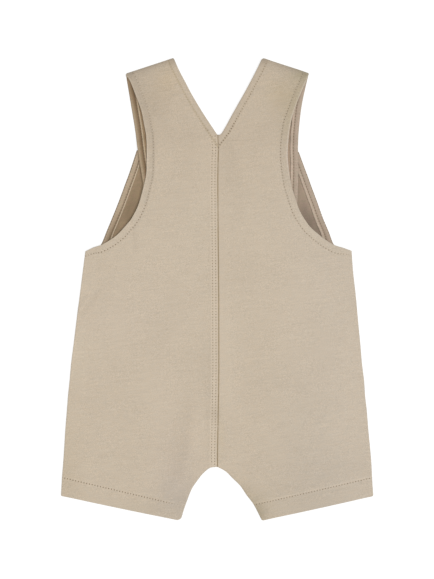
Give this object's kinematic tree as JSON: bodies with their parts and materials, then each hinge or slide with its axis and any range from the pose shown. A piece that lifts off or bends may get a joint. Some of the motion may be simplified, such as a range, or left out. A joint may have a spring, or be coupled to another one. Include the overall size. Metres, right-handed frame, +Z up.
{
  "type": "baby shortalls",
  "caption": "Baby dungaree shorts in plain cotton jersey, laid flat with the back up: V back neck, shoulder straps folded over and buttoned inside the bib, stitched armholes and leg hems.",
  "frame": {"origin": "centre of the garment's outline, on the surface it lies on", "axes": "+X across the garment to its right as seen from above, +Y from the hems to the shoulders, +Z up out of the surface"},
  "size_m": [0.287, 0.4249, 0.0074],
  "materials": {
    "jersey": "matt cotton jersey, sand beige",
    "facing": "matt cotton jersey facing, sand beige",
    "button": "satin resin, sand beige"
  },
  "bodies": {
    "root": {"back_left": "jersey", "back_right": "jersey", "front_left": "jersey", "front_right": "jersey", "armhole_facing_left": "facing", "armhole_facing_right": "facing", "strap_facing_left": "facing", "strap_facing_right": "facing", "button_left": "button", "button_right": "button"}
  },
  "joints": []
}
